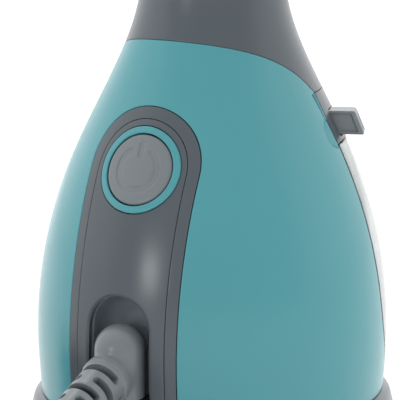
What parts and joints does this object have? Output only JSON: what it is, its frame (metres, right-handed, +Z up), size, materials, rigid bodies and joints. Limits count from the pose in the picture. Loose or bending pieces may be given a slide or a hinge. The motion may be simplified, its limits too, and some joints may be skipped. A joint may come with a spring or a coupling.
{
  "type": "wallpaper steamer",
  "caption": "Hand-held wallpaper steamer: bottle-shaped body with a clear removable tank, slim grip with trigger, and a wide steam plate on the head; mains lead on a swivel.",
  "frame": {"origin": "middle of the box round the steamer without its lead, at the level of the surface it stands on; this is also on the upright axis of its round body", "axes": "+Z up along the body and grip, -Y the way the tank and steam plate face, +Y towards the rear panel and the lead, +X to the right of someone who faces -Y from behind it"},
  "size_m": [0.1965, 0.2695, 0.3],
  "materials": {
    "teal_plastic": "glossy moulded teal plastic",
    "grey_plastic": "semi-gloss moulded dark grey plastic",
    "light_grey_plastic": "satin moulded light grey plastic",
    "base_grey_plastic": "satin moulded mid grey plastic",
    "inner_plastic": "matt dark moulded plastic",
    "clear_plastic": "clear glossy plastic",
    "rubber": "matt black rubber",
    "cord_sheath": "smooth black flexible sheath",
    "steel": "bright zinc-plated steel",
    "brass": "bare brass",
    "aluminium": "cast and machined aluminium",
    "board": "green circuit board",
    "copper": "copper-clad heating element"
  },
  "bodies": {
    "root": {"base_screw_1": "steel", "base_screw_2": "steel", "base_screw_3": "steel", "base_screw_4": "steel", "base_ring": "base_grey_plastic", "bottom_cover": "inner_plastic", "rubber_foot_ring": "rubber", "main_shell": "teal_plastic", "neck_shell": "grey_plastic", "grip_pad": "rubber", "rear_panel": "grey_plastic", "cord_recess": "inner_plastic", "button_ring": "teal_plastic", "button_spring": "steel", "power_switch": "inner_plastic", "swivel_bearing": "inner_plastic", "cord_lead": "cord_sheath", "cord_tail": "cord_sheath", "cord_coil": "cord_sheath", "coil_tie": "cord_sheath", "plug_body": "cord_sheath", "plug_pin_live": "brass", "plug_pin_neutral": "brass", "plug_pin_earth": "brass", "dock_seal": "rubber", "tank_dock": "inner_plastic", "front_collar": "grey_plastic", "latch_spring_left": "steel", "latch_spring_right": "steel", "trigger_pin": "steel", "trigger_bracket": "inner_plastic", "trigger_switch": "inner_plastic", "trigger_spring": "steel", "chassis": "inner_plastic", "boiler": "aluminium", "heating_element": "copper", "thermostat": "steel", "pump": "inner_plastic", "inlet_tube": "rubber", "outlet_tube": "rubber", "steam_tube": "rubber", "circuit_board": "board", "head_housing": "grey_plastic", "steam_nozzle": "brass", "release_spring": "steel"},
    "power_button": {"power_button": "light_grey_plastic"},
    "cord_swivel": {"cord_swivel": "light_grey_plastic", "strain_relief": "light_grey_plastic"},
    "latch_left": {"tank_latch_left": "light_grey_plastic"},
    "latch_right": {"tank_latch_right": "light_grey_plastic"},
    "tank": {"water_tank": "clear_plastic", "tank_outlet_valve": "inner_plastic", "cap_hinge_pin": "steel"},
    "filler_cap": {"filler_cap": "light_grey_plastic"},
    "trigger": {"trigger": "light_grey_plastic"},
    "release_button": {"release_button": "light_grey_plastic"},
    "steam_plate": {"plate_housing": "grey_plastic", "steam_face": "aluminium", "plate_seal": "rubber"}
  },
  "joints": [
    {"name": "power_button_press", "type": "slide", "parent": "root", "child": "power_button", "axis": [0, -0.9336, -0.3584], "range_m": [0, 0.002], "stiffness_N_per_m": 200, "deforming": ["button_spring"]},
    {"name": "cord_swivel_turn", "type": "hinge", "parent": "root", "child": "cord_swivel", "pos_m": [0, 0.056, 0.045], "axis": [0, 0, 1], "range_deg": [-30, 30]},
    {"name": "latch_left_press", "type": "slide", "parent": "root", "child": "latch_left", "axis": [0.9135, 0.4067, 0], "range_m": [0, 0.002], "stiffness_N_per_m": 200, "deforming": ["latch_spring_left"]},
    {"name": "latch_right_press", "type": "slide", "parent": "root", "child": "latch_right", "axis": [-0.9135, 0.4067, 0], "range_m": [0, 0.002], "stiffness_N_per_m": 200, "deforming": ["latch_spring_right"]},
    {"name": "tank_slide", "type": "slide", "parent": "root", "child": "tank", "axis": [0, -1, 0], "range_m": [0, 0.06]},
    {"name": "filler_cap_hinge", "type": "hinge", "parent": "tank", "child": "filler_cap", "pos_m": [0, -0.04957, 0.10281], "axis": [-1, 0, 0], "range_deg": [0, 100]},
    {"name": "trigger_squeeze", "type": "hinge", "parent": "root", "child": "trigger", "pos_m": [0, -0.0135, 0.226], "axis": [1, 0, 0], "range_deg": [0, 8], "stiffness_Nm_per_rad": 0.1, "deforming": ["trigger_spring"]},
    {"name": "release_press", "type": "slide", "parent": "root", "child": "release_button", "axis": [0, 0, -1], "range_m": [0, 0.002], "stiffness_N_per_m": 200, "deforming": ["release_spring"]},
    {"name": "plate_slide", "type": "slide", "parent": "root", "child": "steam_plate", "axis": [0, -1, 0], "range_m": [0, 0.03]}
  ]
}
